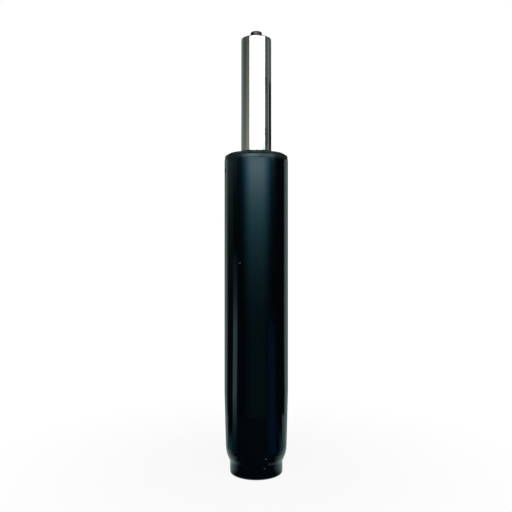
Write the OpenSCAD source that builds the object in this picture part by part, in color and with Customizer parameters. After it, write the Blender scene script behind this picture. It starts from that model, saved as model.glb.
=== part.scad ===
// Gas lift of a swivel chair, standing upright on its foot with the spindle fully down.
// Sizes are millimetres. The origin is the centre of the foot's rim, and +Z runs up the axis.

/* [Column tube] */
// Outside diameter of the column tube
column_d = 50; // [44:0.5:64]
// Height of the column tube, from the foot to its upper rim
column_h = 245; // [205:0.5:320]
// Wall of the column tube
column_wall = 2; // [1.4:0.1:2.6]
// Height of the taper that wedges in the chair base
taper_h = 47; // [20:0.5:80]
// The taper loses one part of diameter in this many parts of height
taper_ratio = 20; // [14:1:40]
// Height of the drawn-in shoulder under the taper
shoulder_h = 7.2; // [5.5:0.1:12]
// How far the shoulder draws the tube in, on the radius
shoulder_step = 3.1; // [2:0.1:4.5]
// Radius of the bend from the taper to the shoulder
shoulder_round = 16; // [4:0.5:20]
// Height of the straight neck at the foot
neck_h = 9; // [8:0.1:14]
// Radius of the bend from the shoulder to the neck
neck_round = 5; // [1:0.5:6]
// Rounding of the outer edge of the foot
foot_round = 0.6; // [0.3:0.1:1.4]
// Width of the lip turned in at the foot, from the neck's inner wall
foot_lip_w = 3.4; // [2.6:0.1:5]
// Thickness of that lip
foot_lip_t = 1.6; // [1:0.1:2.4]
// Rounding of the upper rim's outer edge
rim_round = 0.5; // [0.2:0.1:1]
// Distance of the two stake marks below the upper rim
stake_drop = 8.7; // [6:0.1:12]
// Depth of a stake mark
stake_depth = 0.6; // [0.3:0.1:0.9]
// Diameter of the ball punch that makes a stake mark
stake_ball_d = 4.8; // [3:0.2:8]
// Direction of the first stake mark, in degrees from +X
stake_angle = 196; // [0:1:360]

/* [Guide bush] */
// Depth of the bush in the column, below the rim
bush_h = 88; // [60:1:110]
// How much slimmer the flange is than the column, on the radius
flange_inset = 0.2; // [0.1:0.05:1]
// Height of the flange's upright side
flange_side_h = 3; // [1:0.1:4]
// Width of the flange's sloping shoulder
flange_slope_w = 3.6; // [2:0.1:6]
// Height of the flange's sloping shoulder
flange_slope_h = 2.1; // [1:0.1:3]
// Rise of the shallow crown from the shoulder to the lip
crown_rise = 1; // [0.4:0.1:2]
// Width of the wiping lip round the spindle
lip_w = 1.3; // [0.8:0.1:2]
// Height of the wiping lip over the crown
lip_h = 0.9; // [0.2:0.1:1.5]
// Wall of the inner sleeve
sleeve_wall = 3; // [1.6:0.1:4]
// Height of the solid collar under the flange
top_collar_h = 15; // [13:0.5:24]
// Height of the solid collar at the bush's foot
foot_collar_h = 8; // [4:0.5:14]
// Number of ribs between the collars
rib_count = 8; // [4:1:12]
// Thickness of a rib
rib_t = 2.4; // [1.4:0.1:3.4]
// Height of the groove that the stakes bite into
stake_groove_h = 4; // [3:0.1:6]

/* [Spindle tube] */
// Outside diameter of the spindle's running surface
spindle_d = 23.7; // [19:0.1:28]
// Wall of the spindle tube, also the thickness of its rolled lips
spindle_wall = 1.6; // [1.2:0.1:2]
// Height of the spindle's top above the column's rim
spindle_rise = 95.8; // [80:0.2:120]
// How much slimmer the seat for the chair mechanism is, on the radius
seat_relief = 0.05; // [0.05:0.05:0.4]
// Height of the seat at the top of the spindle
seat_h = 62; // [40:1:72]
// Height of the blend under the seat
seat_blend_h = 12; // [4:1:16]
// Rounding of the spindle's end edges
spindle_round = 1; // [0.2:0.1:1.2]
// Width of the lip rolled over the valve at the top
top_lip_w = 2.6; // [1.6:0.1:3]
// Gap between the rod and the lip rolled in at the spindle's foot
foot_lip_gap = 1.2; // [0.6:0.1:2]

/* [Lift] */
// Travel of the spindle
stroke = 130; // [60:1:156]
// Height of the rubber bump stop
bump_h = 9; // [5:0.5:16]
// Gap between the bump stop and the lowered spindle
bump_gap = 0.4; // [0.3:0.1:1]
// How much slimmer the bump stop is than the spindle, on the radius
bump_inset = 0.5; // [0.2:0.1:2]
// Depth of the bump stop's waist
bump_waist = 1.1; // [0.4:0.1:2]
// Gap between the piston and the rod guide at full lift
piston_gap = 3; // [1:0.5:10]

/* [Inner tube] */
// Gas passage between the spindle tube and the inner tube
passage_w = 0.9; // [0.5:0.1:1.2]
// Wall of the inner tube
inner_wall = 0.9; // [0.6:0.1:1.2]

/* [Piston rod] */
// Diameter of the piston rod
rod_d = 10; // [8:0.1:12]
// How far the rod steps in to its tail in the bearing, on the radius
tail_step = 1; // [0.6:0.1:1.6]
// Height of the tail's tip above the foot
tail_tip_z = 1.2; // [0.6:0.1:1.4]
// Chamfer of the tail's tip
tail_chamfer = 0.6; // [0.2:0.1:0.8]
// Depth of the clip groove in the tail
clip_groove_depth = 0.9; // [0.5:0.1:1.2]
// How far the rod steps in under the piston, on the radius
piston_step = 1.5; // [1:0.1:2]
// Height of the piston
piston_h = 15; // [12:0.5:24]
// Thickness of the washer over the piston
piston_washer_t = 2; // [1:0.1:3]
// Height of the rivet head that holds the piston
rivet_h = 1.8; // [1:0.1:2.4]
// Overhang of the rivet head, on the radius
rivet_lip = 0.9; // [0.5:0.1:1.4]
// Height of the piston's guide band
band_h = 4; // [2:0.1:5]
// Height of the guide band's middle over the piston's foot
band_rise = 3.8; // [3:0.1:4.5]
// Depth of the seal's middle below the piston's top
piston_seal_drop = 3.7; // [2:0.1:4]
// Thickness of the piston's guide band
band_t = 1; // [0.6:0.1:1.3]

/* [Swivel bearing] */
// Height of the pressed cup in the neck
cup_h = 7; // [6:0.1:8]
// Thickness of the cup's floor
cup_floor_t = 2.6; // [2:0.1:3]
// Wall of the cup's skirt
cup_wall = 1.8; // [1.2:0.1:2.4]
// Diameter of the races
race_d = 26; // [22:0.5:27]
// Thickness of a race
race_t = 1.8; // [1.4:0.1:2.6]
// Depth of a ball track
track_depth = 0.4; // [0.2:0.1:0.6]
// Diameter of a ball
ball_d = 4; // [3:0.1:4.8]
// Number of balls
ball_count = 10; // [6:1:10]
// Thickness of the ball cage
cage_t = 1.8; // [1:0.1:2]
// Margin of the cage inside the races' edges
cage_margin = 0.8; // [0.4:0.1:1.4]
// Thickness of the washer under the cup
clip_washer_t = 1.2; // [0.8:0.1:1.4]
// Width of that washer
clip_washer_w = 4.5; // [3:0.1:6]
// Thickness of the retaining clip
clip_t = 1.2; // [0.8:0.1:1.3]
// Radial width of the retaining clip's ring
clip_ring_w = 1.9; // [1.4:0.1:2.6]
// Length of the clip's lugs, inside the ring
clip_lug_l = 2.2; // [1.5:0.1:3]
// Width of the clip's lugs
clip_lug_w = 3; // [2:0.1:4]
// Width of the clip's mouth
clip_mouth_w = 6; // [5:0.1:7]

/* [Rod guide] */
// Thickness of the washer at the spindle's foot
end_washer_t = 2; // [1:0.1:3]
// Height of the rod seal
rod_seal_h = 6; // [4:0.5:8]
// Depth of the rod seal's pressure groove
seal_groove_h = 3; // [1:0.1:3.2]
// Width of the rod seal's pressure groove
seal_groove_w = 1.2; // [0.5:0.1:1.4]
// Thickness of the backing ring over the seal
backing_t = 2; // [1:0.1:3]
// Height of the rod guide
guide_h = 14; // [12:0.5:20]
// Height of the guide's spigot in the inner tube
guide_spigot_h = 6; // [3:0.5:8]
// Height of the gas channel under the inner tube
channel_h = 1.5; // [0.8:0.1:3]
// Number of gas slots in the guide
slot_count = 4; // [2:1:6]
// Width of a gas slot
slot_w = 2.6; // [1.5:0.1:3]
// Depth of a gas slot in the spigot
slot_depth = 1; // [0.5:0.1:1.5]

/* [Valve] */
// Height of the plug under the spindle's top lip
plug_h = 12; // [10:0.5:16]
// How far the plug's nose stays below the spindle's top
plug_nose_drop = 0.3; // [0.1:0.1:1]
// Thickness of the disc that closes the stem seals
retainer_t = 1.5; // [1:0.1:2.5]
// Height of the valve housing's sealing collar
housing_h = 15; // [12:0.5:20]
// Height of the gas gallery under the collar
gallery_h = 5; // [3.5:0.5:8]
// Depth of the gas gallery, from the spindle tube's bore
gallery_depth = 1.6; // [1.2:0.1:2.2]
// Height of the housing's spigot in the inner tube
housing_spigot_h = 8; // [5:0.5:12]
// Diameter of the cross port
port_d = 2.4; // [1.5:0.1:3]
// Thickness of a housing seal ring
housing_ring_d = 1.8; // [1.2:0.1:2.2]
// Distance of the housing seals' middles from the collar's ends
housing_ring_inset = 4; // [2:0.1:5]
// Thickness of a stem seal ring
stem_ring_d = 1.4; // [1:0.1:1.8]
// Height of the spacer between the stem seals
stem_spacer_h = 4; // [2:0.5:6]
// Diameter of the valve pin
pin_d = 5; // [4:0.1:6]
// Diameter of the valve pin's waist
pin_waist_d = 3.2; // [2.4:0.1:3.8]
// Diameter of the valve pin's head
pin_head_d = 8; // [6.6:0.1:10]
// Height of the valve pin's head
pin_head_h = 3; // [2:0.1:5]

/* [Release button] */
// Diameter of the button
button_d = 9; // [7.4:0.1:9.4]
// Height of the button over the spindle's top
button_rise = 5.4; // [4.6:0.1:8]
// Travel of the button
button_travel = 4; // [2:0.1:4.4]
// Rounding of the button's crown
button_round = 1; // [0.4:0.1:2]
// Width of the flange that holds the button in
button_flange_w = 1.2; // [0.8:0.1:1.4]
// Height of that flange
button_flange_h = 2; // [1:0.1:3]

/* [Clearances] */
// Radial gap of pieces that slide or turn on each other
slide_gap = 0.06; // [0.03:0.01:0.1]
// Radial gap of pieces that are fixed in a bore
seat_gap = 0.04; // [0.02:0.01:0.08]
// Gap round a ball
ball_gap = 0.05; // [0.03:0.01:0.1]
// Gap between end faces that turn on each other
face_gap = 0.1; // [0.05:0.05:0.3]
// Wider gap round pieces that never touch
free_gap = 0.3; // [0.2:0.05:0.6]

/* [Hidden] */
$fn = 96;

// Radii of the column
column_r = column_d / 2;
column_bore_r = column_r - column_wall;
taper_z = neck_h + shoulder_h + taper_h;
shoulder_r = column_r - taper_h / taper_ratio / 2;
shoulder_z = neck_h + shoulder_h;
neck_r = shoulder_r - shoulder_step;
neck_bore_r = neck_r - column_wall;
foot_open_r = neck_bore_r - foot_lip_w;
stake_z = column_h - stake_drop;

// Radii of the spindle, from the outside in
spindle_r = spindle_d / 2;
spindle_bore_r = spindle_r - spindle_wall;
seat_r = spindle_r - seat_relief;
inner_r = spindle_bore_r - passage_w;
inner_bore_r = inner_r - inner_wall;
rod_r = rod_d / 2;
tail_r = rod_r - tail_step;
piston_tail_r = rod_r - piston_step;
top_open_r = spindle_bore_r - top_lip_w;
fixed_in_spindle_r = spindle_bore_r - seat_gap;
fixed_in_inner_r = inner_bore_r - seat_gap;
rod_run_r = rod_r + slide_gap;

// Heights of the bearing, from the foot up
cup_top_z = foot_lip_t + cup_h;
cup_floor_z = cup_top_z - cup_floor_t;
lower_race_z = cup_top_z;
ball_z = lower_race_z + race_t - track_depth + ball_gap + ball_d / 2;
upper_race_z = ball_z + ball_d / 2 + ball_gap - track_depth;
rod_shoulder_z = upper_race_z + race_t;
race_r = race_d / 2;
race_bore_r = tail_r + free_gap;
ball_ring_r = (race_bore_r + race_r) / 2;
clip_washer_z = cup_floor_z - face_gap - clip_washer_t;
clip_z = clip_washer_z - clip_t;
clip_groove_r = tail_r - clip_groove_depth;

// Heights of the lowered spindle, from its foot up
bump_top_z = rod_shoulder_z + bump_h;
spindle_z = bump_top_z + bump_gap;
end_washer_z = spindle_z + spindle_wall;
rod_seal_z = end_washer_z + end_washer_t;
backing_z = rod_seal_z + rod_seal_h;
guide_z = backing_z + backing_t;
guide_top_z = guide_z + guide_h;
inner_z = guide_top_z - guide_spigot_h;
piston_z = guide_top_z + stroke + piston_gap;
piston_top_z = piston_z + piston_h;
rivet_z = piston_top_z + piston_washer_t;
piston_run_r = inner_bore_r - slide_gap;
band_z = piston_z + band_rise;
piston_seal_z = piston_top_z - piston_seal_drop;

// Heights of the valve, from the spindle's top down
spindle_top_z = column_h + spindle_rise;
plug_top_z = spindle_top_z - spindle_wall;
plug_z = plug_top_z - plug_h;
retainer_z = plug_z - retainer_t;
housing_top_z = retainer_z;
gallery_top_z = housing_top_z - housing_h;
inner_top_z = gallery_top_z - gallery_h;
housing_z = inner_top_z - housing_spigot_h;
port_z = inner_top_z + gallery_h / 2;
stem_ring_fit = stem_ring_d + 2 * seat_gap;
stem_bore_z = housing_top_z - 2 * stem_ring_fit - stem_spacer_h;
pin_r = pin_d / 2;
stem_bore_r = pin_r + slide_gap + stem_ring_d + seat_gap;
pin_neck_z = port_z + port_d / 2 + button_travel + free_gap;
button_r = button_d / 2;
button_flange_r = button_r + button_flange_w;
button_stop_z = plug_z + free_gap + button_travel + button_flange_h + face_gap;
button_z = button_stop_z - face_gap - button_flange_h;
button_top_z = spindle_top_z + button_rise;

// Heights of the two housing seals
housing_seal_z = [gallery_top_z + housing_ring_inset, housing_top_z - housing_ring_inset];
housing_groove_r = spindle_bore_r - housing_ring_d - 2 * seat_gap;
housing_groove_h = housing_ring_d + 4 * seat_gap;

// Colours, as the finished pieces look
paint_black = [0.05, 0.06, 0.07];
plastic_black = [0.08, 0.08, 0.09];
chrome = [0.80, 0.82, 0.81];
steel = [0.62, 0.63, 0.65];
zinc = [0.70, 0.72, 0.75];
brass = [0.78, 0.62, 0.30];
rubber = [0.10, 0.10, 0.10];
white_plastic = [0.90, 0.89, 0.85];

// A vector of length one
function unit(v) = v / norm(v);

// Points of the arc of radius r that rounds the corner b between a and c
function round_corner(a, b, c, r, steps = 8) =
    let (
        u = unit(a - b),
        v = unit(c - b),
        half = acos(u * v) / 2,
        centre = b + unit(u + v) * r / sin(half),
        from = b + u * r / tan(half) - centre,
        to = b + v * r / tan(half) - centre,
        start = atan2(from[1], from[0]),
        turn = atan2(cross(from, to), from * to)
    )
    [for (i = [0 : steps]) centre + r * [cos(start + turn * i / steps), sin(start + turn * i / steps)]];

// The points in the opposite order, moved in by a wall
function wall_inside(points, wall) =
    [for (i = [len(points) - 1 : -1 : 0]) points[i] - [wall, 0]];

// A flat ring with square edges
module ring(outer_r, inner_r, z, h) {
    translate([0, 0, z])
        rotate_extrude()
            translate([inner_r, 0])
                square([outer_r - inner_r, h]);
}

// A round seal ring that just reaches an outer radius
module seal_ring(outer_r, thickness, z) {
    translate([0, 0, z])
        rotate_extrude()
            translate([outer_r - thickness / 2, 0])
                circle(d = thickness, $fn = 32);
}

// A race with its ball track; the track is concentric with the balls
module race(bore_r, z) {
    difference() {
        ring(race_r, bore_r, z, race_t);
        translate([0, 0, ball_z])
            rotate_extrude()
                translate([ball_ring_r, 0])
                    circle(r = ball_d / 2 + ball_gap, $fn = 48);
    }
}

// Painted steel tube: tapered foot, drawn-in shoulder, straight neck with a turned-in lip
module column_tube() {
    neck_corner = [neck_r, neck_h];
    shoulder_corner = [shoulder_r, shoulder_z];
    taper_end = [column_r, taper_z];
    rim = [column_r, column_h];
    bends = concat(
        round_corner([neck_r, 0], neck_corner, shoulder_corner, neck_round),
        round_corner(neck_corner, shoulder_corner, taper_end, shoulder_round),
        [taper_end]
    );
    outside = concat(
        round_corner([foot_open_r, 0], [neck_r, 0], neck_corner, foot_round),
        bends,
        round_corner(taper_end, rim, [column_bore_r, column_h], rim_round)
    );
    inside = concat([[column_bore_r, column_h]], wall_inside(bends, column_wall));
    foot_lip = [[neck_bore_r, foot_lip_t], [foot_open_r, foot_lip_t], [foot_open_r, 0]];
    mark_r = stake_ball_d / 2;
    color(paint_black)
        difference() {
            union() {
                rotate_extrude() polygon(concat(outside, inside, foot_lip));
                for (a = [stake_angle, stake_angle + 180])
                    translate([0, 0, stake_z])
                        rotate([0, 90, a])
                            translate([0, 0, column_bore_r - stake_depth])
                                cylinder(h = stake_depth + column_wall / 4, r1 = stake_depth, r2 = 2 * stake_depth);
            }
            for (a = [stake_angle, stake_angle + 180])
                rotate([0, 0, a])
                    translate([column_r + mark_r - stake_depth, 0, stake_z])
                        sphere(r = mark_r);
        }
}

// Black plastic bush: domed flange on the rim, wiping lip, ribbed sleeve that guides the spindle
module guide_bush() {
    bore_r = spindle_r + slide_gap;
    fit_r = column_bore_r - seat_gap;
    sleeve_r = bore_r + sleeve_wall;
    flange_r = column_r - flange_inset;
    foot_z = column_h - bush_h;
    collar_z = column_h - top_collar_h;
    foot_collar_top_z = foot_z + foot_collar_h;
    side_top = [flange_r, column_h + flange_side_h];
    slope_top = side_top + [-flange_slope_w, flange_slope_h];
    crown_end = [bore_r + lip_w, slope_top[1] + crown_rise];
    lip_top_z = crown_end[1] + lip_h;
    groove_r = fit_r - stake_depth - free_gap;
    flange = concat(
        [[bore_r, foot_z], [bore_r, lip_top_z], [bore_r + lip_w / 2, lip_top_z], crown_end],
        round_corner(crown_end, slope_top, side_top, flange_slope_w),
        round_corner(slope_top, side_top, [flange_r, column_h], flange_side_h / 2),
        [[flange_r, column_h], [fit_r, column_h]]
    );
    collar = [
        [fit_r, stake_z + stake_groove_h / 2],
        [groove_r, stake_z + stake_groove_h / 2],
        [groove_r, stake_z - stake_groove_h / 2],
        [fit_r, stake_z - stake_groove_h / 2],
        [fit_r, collar_z],
    ];
    sleeve = [
        [sleeve_r, collar_z],
        [sleeve_r, foot_collar_top_z],
        [fit_r, foot_collar_top_z],
        [fit_r, foot_z],
    ];
    color(plastic_black)
        union() {
            rotate_extrude() polygon(concat(flange, collar, sleeve));
            for (i = [0 : rib_count - 1])
                rotate([0, 0, (i + 0.5) * 360 / rib_count])
                    translate([sleeve_r - sleeve_wall / 2, -rib_t / 2, foot_z + foot_collar_h / 2])
                        cube([
                            fit_r - seat_gap - sleeve_r + sleeve_wall / 2,
                            rib_t,
                            collar_z - foot_z - foot_collar_h / 2 + top_collar_h / 8
                        ]);
        }
}

// Pressed steel cup in the neck: its skirt stands on the foot's lip, its floor carries the bearing
module bottom_cup() {
    cup_r = neck_bore_r - seat_gap;
    color(zinc)
        difference() {
            translate([0, 0, foot_lip_t])
                cylinder(h = cup_h, r = cup_r);
            translate([0, 0, foot_lip_t - cup_floor_t])
                cylinder(h = cup_h, r = cup_r - cup_wall);
            cylinder(h = column_h, r = tail_r + slide_gap);
        }
}

// Hardened steel ring on the cup's floor
module lower_race() {
    color(steel)
        race(race_bore_r, lower_race_z);
}

// Plastic ring that spaces the balls
module ball_cage() {
    color(white_plastic)
        difference() {
            ring(race_r - cage_margin, race_bore_r + cage_margin, ball_z - cage_t / 2, cage_t);
            for (i = [0 : ball_count - 1])
                rotate([0, 0, i * 360 / ball_count])
                    translate([ball_ring_r, 0, ball_z - cage_t])
                        cylinder(h = 2 * cage_t, r = ball_d / 2 + 2 * ball_gap);
        }
}

// Steel balls of the thrust bearing
module bearing_balls() {
    color(chrome)
        for (i = [0 : ball_count - 1])
            rotate([0, 0, i * 360 / ball_count])
                translate([ball_ring_r, 0, ball_z])
                    sphere(d = ball_d);
}

// Ground steel rod: tail with a clip groove, shoulder on the bearing, riveted end over the piston
module piston_rod() {
    rivet_r = piston_tail_r + rivet_lip;
    rivet_top_z = rivet_z + rivet_h;
    tail = [
        [0, tail_tip_z],
        [tail_r - tail_chamfer, tail_tip_z],
        [tail_r, tail_tip_z + tail_chamfer],
        [tail_r, clip_z - seat_gap],
        [clip_groove_r, clip_z - seat_gap],
        [clip_groove_r, clip_z + clip_t],
        [tail_r, clip_z + clip_t],
        [tail_r, rod_shoulder_z],
    ];
    shank = [
        [rod_r, rod_shoulder_z],
        [rod_r, piston_z],
        [piston_tail_r, piston_z],
        [piston_tail_r, rivet_z],
        [rivet_r, rivet_z],
    ];
    head = round_corner([rivet_r, rivet_z], [rivet_r, rivet_top_z], [0, rivet_top_z], rivet_h * 0.8);
    color(steel)
        rotate_extrude() polygon(concat(tail, shank, head, [[0, rivet_top_z]]));
}

// Hardened steel ring under the rod's shoulder
module upper_race() {
    color(steel)
        race(tail_r + seat_gap, upper_race_z);
}

// Rubber ring that the lowered spindle comes down on; its waist lets it bulge
module bump_stop() {
    outer_r = spindle_r - bump_inset;
    waist_r = outer_r - bump_waist;
    color(rubber)
        rotate_extrude()
            polygon([
                [rod_r + seat_gap, rod_shoulder_z],
                [outer_r, rod_shoulder_z],
                [outer_r, rod_shoulder_z + bump_h / 4],
                [waist_r, rod_shoulder_z + bump_h / 2],
                [outer_r, rod_shoulder_z + bump_h * 3 / 4],
                [outer_r, bump_top_z],
                [rod_r + seat_gap, bump_top_z],
            ]);
}

// Flat washer between the cup's floor and the clip
module clip_washer() {
    color(zinc)
        ring(tail_r + seat_gap + clip_washer_w, tail_r + seat_gap, clip_washer_z, clip_washer_t);
}

// Flat spring clip in the tail's groove: open ring with three lugs
module retaining_clip() {
    lug_r = clip_groove_r + seat_gap;
    ring_in_r = lug_r + clip_lug_l;
    ring_out_r = ring_in_r + clip_ring_w;
    color(steel)
        translate([0, 0, clip_z])
            linear_extrude(clip_t)
                difference() {
                    union() {
                        difference() {
                            circle(r = ring_out_r);
                            circle(r = ring_in_r);
                        }
                        for (a = [0, 90, 180])
                            rotate([0, 0, a])
                                translate([0, -clip_lug_w / 2])
                                    square([ring_in_r + clip_ring_w / 2, clip_lug_w]);
                    }
                    circle(r = lug_r);
                    translate([-clip_mouth_w / 2, -ring_out_r * 2])
                        square([clip_mouth_w, ring_out_r * 2 - lug_r]);
                }
}

// Brass piston with a groove for its seal and one for its guide band
module piston() {
    body_r = inner_bore_r - free_gap / 2;
    band_groove_r = piston_run_r - band_t - seat_gap;
    seal_groove_r = piston_run_r - housing_ring_d - seat_gap;
    seal_half_h = housing_groove_h / 2;
    band_half_h = band_h / 2 + seat_gap;
    color(brass)
        rotate_extrude()
            polygon([
                [piston_tail_r + seat_gap, piston_z],
                [body_r, piston_z],
                [body_r, band_z - band_half_h],
                [band_groove_r, band_z - band_half_h],
                [band_groove_r, band_z + band_half_h],
                [body_r, band_z + band_half_h],
                [body_r, piston_seal_z - seal_half_h],
                [seal_groove_r, piston_seal_z - seal_half_h],
                [seal_groove_r, piston_seal_z + seal_half_h],
                [body_r, piston_seal_z + seal_half_h],
                [body_r, piston_top_z],
                [piston_tail_r + seat_gap, piston_top_z],
            ]);
}

// Rubber seal of the piston
module piston_seal() {
    color(rubber)
        seal_ring(piston_run_r, housing_ring_d, piston_seal_z);
}

// Low-friction band that centres the piston
module piston_band() {
    color(white_plastic)
        ring(piston_run_r, piston_run_r - band_t, band_z - band_h / 2, band_h);
}

// Steel washer between the piston and the rivet head
module piston_washer() {
    color(zinc)
        ring(inner_bore_r - 2 * free_gap, piston_tail_r + seat_gap, piston_top_z, piston_washer_t);
}

// Chromed pressure tube: lips rolled in at both ends, slimmer seat at the top for the chair mechanism
module spindle_tube() {
    foot_open_edge_r = rod_r + foot_lip_gap;
    seat_z = spindle_top_z - seat_h;
    top_corner = [seat_r, spindle_top_z];
    foot_corner = [spindle_r, spindle_z];
    color(chrome)
        rotate_extrude()
            polygon(concat(
                [[foot_open_edge_r, spindle_z]],
                round_corner([foot_open_edge_r, spindle_z], foot_corner, [spindle_r, column_h], spindle_round),
                [[spindle_r, seat_z - seat_blend_h], [seat_r, seat_z]],
                round_corner([seat_r, seat_z], top_corner, [top_open_r, spindle_top_z], spindle_round),
                [
                    [top_open_r, spindle_top_z],
                    [top_open_r, plug_top_z],
                    [spindle_bore_r, plug_top_z],
                    [spindle_bore_r, end_washer_z],
                    [foot_open_edge_r, end_washer_z],
                ]
            ));
}

// Thin steel tube that the piston runs in
module inner_tube() {
    color(steel)
        ring(inner_r, inner_bore_r, inner_z, inner_top_z - inner_z);
}

// Steel washer on the spindle's rolled foot
module end_washer() {
    color(zinc)
        ring(fixed_in_spindle_r, rod_r + free_gap, end_washer_z, end_washer_t);
}

// Rubber cup seal round the rod, with its pressure groove towards the gas
module rod_seal() {
    groove_mid_r = (fixed_in_spindle_r + rod_run_r) / 2;
    top_z = rod_seal_z + rod_seal_h;
    color(rubber)
        rotate_extrude()
            polygon([
                [rod_run_r, rod_seal_z],
                [fixed_in_spindle_r, rod_seal_z],
                [fixed_in_spindle_r, top_z],
                [groove_mid_r + seal_groove_w / 2, top_z],
                [groove_mid_r, top_z - seal_groove_h],
                [groove_mid_r - seal_groove_w / 2, top_z],
                [rod_run_r, top_z],
            ]);
}

// Plastic ring that backs the seal
module seal_backing() {
    color(white_plastic)
        ring(fixed_in_spindle_r, rod_r + free_gap, backing_z, backing_t);
}

// Plastic guide for the rod; its spigot centres the inner tube, its slots let the gas past
module rod_guide() {
    color(white_plastic)
        difference() {
            rotate_extrude()
                polygon([
                    [rod_run_r, guide_z],
                    [fixed_in_spindle_r, guide_z],
                    [fixed_in_spindle_r, inner_z],
                    [fixed_in_inner_r, inner_z],
                    [fixed_in_inner_r, guide_top_z],
                    [rod_run_r, guide_top_z],
                ]);
            for (i = [0 : slot_count - 1])
                rotate([0, 0, i * 360 / slot_count])
                    translate([fixed_in_inner_r - slot_depth, -slot_w / 2, inner_z - channel_h])
                        cube([spindle_r, slot_w, guide_spigot_h + 2 * channel_h]);
        }
}

// Brass valve housing: sealing collar, gas gallery with a cross port, spigot in the inner tube
module valve_housing() {
    gallery_r = spindle_bore_r - gallery_depth;
    grooves = [for (z = housing_seal_z) each [
        [fixed_in_spindle_r, z - housing_groove_h / 2],
        [housing_groove_r, z - housing_groove_h / 2],
        [housing_groove_r, z + housing_groove_h / 2],
        [fixed_in_spindle_r, z + housing_groove_h / 2],
    ]];
    color(brass)
        difference() {
            rotate_extrude()
                polygon(concat(
                    [
                        [pin_r + slide_gap, housing_z],
                        [fixed_in_inner_r, housing_z],
                        [fixed_in_inner_r, inner_top_z],
                        [gallery_r, inner_top_z],
                        [gallery_r, gallery_top_z],
                        [fixed_in_spindle_r, gallery_top_z],
                    ],
                    grooves,
                    [
                        [fixed_in_spindle_r, housing_top_z],
                        [stem_bore_r, housing_top_z],
                        [stem_bore_r, stem_bore_z],
                        [pin_r + slide_gap, stem_bore_z],
                    ]
                ));
            translate([0, 0, port_z])
                rotate([0, 90, 0])
                    cylinder(h = spindle_d, d = port_d, center = true);
        }
}

// Rubber rings between the housing and the spindle tube
module housing_seals() {
    color(rubber)
        for (z = housing_seal_z)
            seal_ring(fixed_in_spindle_r, housing_ring_d, z);
}

// Rubber rings round the valve pin, under and over the spacer
module stem_seals() {
    ring_out_r = stem_bore_r - seat_gap;
    color(rubber)
        for (z = [stem_bore_z + stem_ring_fit / 2, housing_top_z - stem_ring_fit / 2])
            seal_ring(ring_out_r, stem_ring_d, z);
}

// Plastic spacer between the stem seals
module stem_spacer() {
    color(white_plastic)
        ring(stem_bore_r - seat_gap, pin_r + slide_gap, stem_bore_z + stem_ring_fit, stem_spacer_h);
}

// Steel disc that keeps the stem seals in the housing
module seal_retainer() {
    color(zinc)
        ring(fixed_in_spindle_r, pin_r + free_gap, retainer_z, retainer_t);
}

// Black plastic plug under the spindle's top lip; it guides the button and stops its flange
module top_plug() {
    nose_r = top_open_r - seat_gap;
    nose_z = spindle_top_z - plug_nose_drop;
    color(plastic_black)
        rotate_extrude()
            polygon([
                [button_flange_r + free_gap, plug_z],
                [fixed_in_spindle_r, plug_z],
                [fixed_in_spindle_r, plug_top_z],
                [nose_r, plug_top_z],
                [nose_r, nose_z],
                [button_r + slide_gap, nose_z],
                [button_r + slide_gap, button_stop_z],
                [button_flange_r + free_gap, button_stop_z],
            ]);
}

// Steel valve pin: head that shuts the housing from below, waist past the port, stem up to the button
module valve_pin() {
    head_top_z = housing_z - face_gap;
    waist_r = pin_waist_d / 2;
    color(steel)
        rotate_extrude()
            polygon([
                [0, head_top_z - pin_head_h],
                [pin_head_d / 2, head_top_z - pin_head_h],
                [pin_head_d / 2, head_top_z],
                [waist_r, head_top_z],
                [waist_r, pin_neck_z],
                [pin_r, pin_neck_z + pin_r - waist_r],
                [pin_r, button_z],
                [0, button_z],
            ]);
}

// Dark button that the chair's lever presses; the flange under the plug keeps it in
module release_button() {
    crown = [button_r, button_top_z];
    flange_top_z = button_z + button_flange_h;
    color(plastic_black)
        rotate_extrude()
            polygon(concat(
                [
                    [0, button_z],
                    [button_flange_r, button_z],
                    [button_flange_r, flange_top_z],
                    [button_r, flange_top_z],
                ],
                round_corner([button_r, flange_top_z], crown, [0, button_top_z], button_round),
                [[0, button_top_z]]
            ));
}

column_tube();
guide_bush();
bottom_cup();
lower_race();
ball_cage();
bearing_balls();
piston_rod();
upper_race();
bump_stop();
clip_washer();
retaining_clip();
piston();
piston_seal();
piston_band();
piston_washer();
spindle_tube();
inner_tube();
end_washer();
rod_seal();
seal_backing();
rod_guide();
valve_housing();
housing_seals();
stem_seals();
stem_spacer();
seal_retainer();
top_plug();
valve_pin();
release_button();
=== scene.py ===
import math

import bmesh
import bpy
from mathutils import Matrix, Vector


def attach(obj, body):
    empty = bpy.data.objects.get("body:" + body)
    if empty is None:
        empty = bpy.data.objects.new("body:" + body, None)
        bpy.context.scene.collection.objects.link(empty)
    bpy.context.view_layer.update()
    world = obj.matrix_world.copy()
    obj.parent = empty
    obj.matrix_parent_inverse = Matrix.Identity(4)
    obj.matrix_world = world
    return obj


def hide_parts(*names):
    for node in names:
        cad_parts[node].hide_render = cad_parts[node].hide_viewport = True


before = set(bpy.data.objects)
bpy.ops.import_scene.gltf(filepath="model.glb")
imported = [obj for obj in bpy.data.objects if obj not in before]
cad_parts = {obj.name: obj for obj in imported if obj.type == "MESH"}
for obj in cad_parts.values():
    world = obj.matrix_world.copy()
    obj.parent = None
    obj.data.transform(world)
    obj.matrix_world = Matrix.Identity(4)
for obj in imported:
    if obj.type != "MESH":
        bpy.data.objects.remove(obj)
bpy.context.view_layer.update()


# Column tube. A drawn steel tube, 50 mm across, with a slow taper that wedges into a chair's
# base, a shoulder and neck drawn in below it, and a lip rolled under at the foot. It is
# lacquered black, and two punch marks under the rim lock the guide bush in.
mm = 0.001
column_r = 25.0
column_wall = 2.0
column_h = 245.0
rim_round = 0.5
taper_top_z = 63.2
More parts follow.
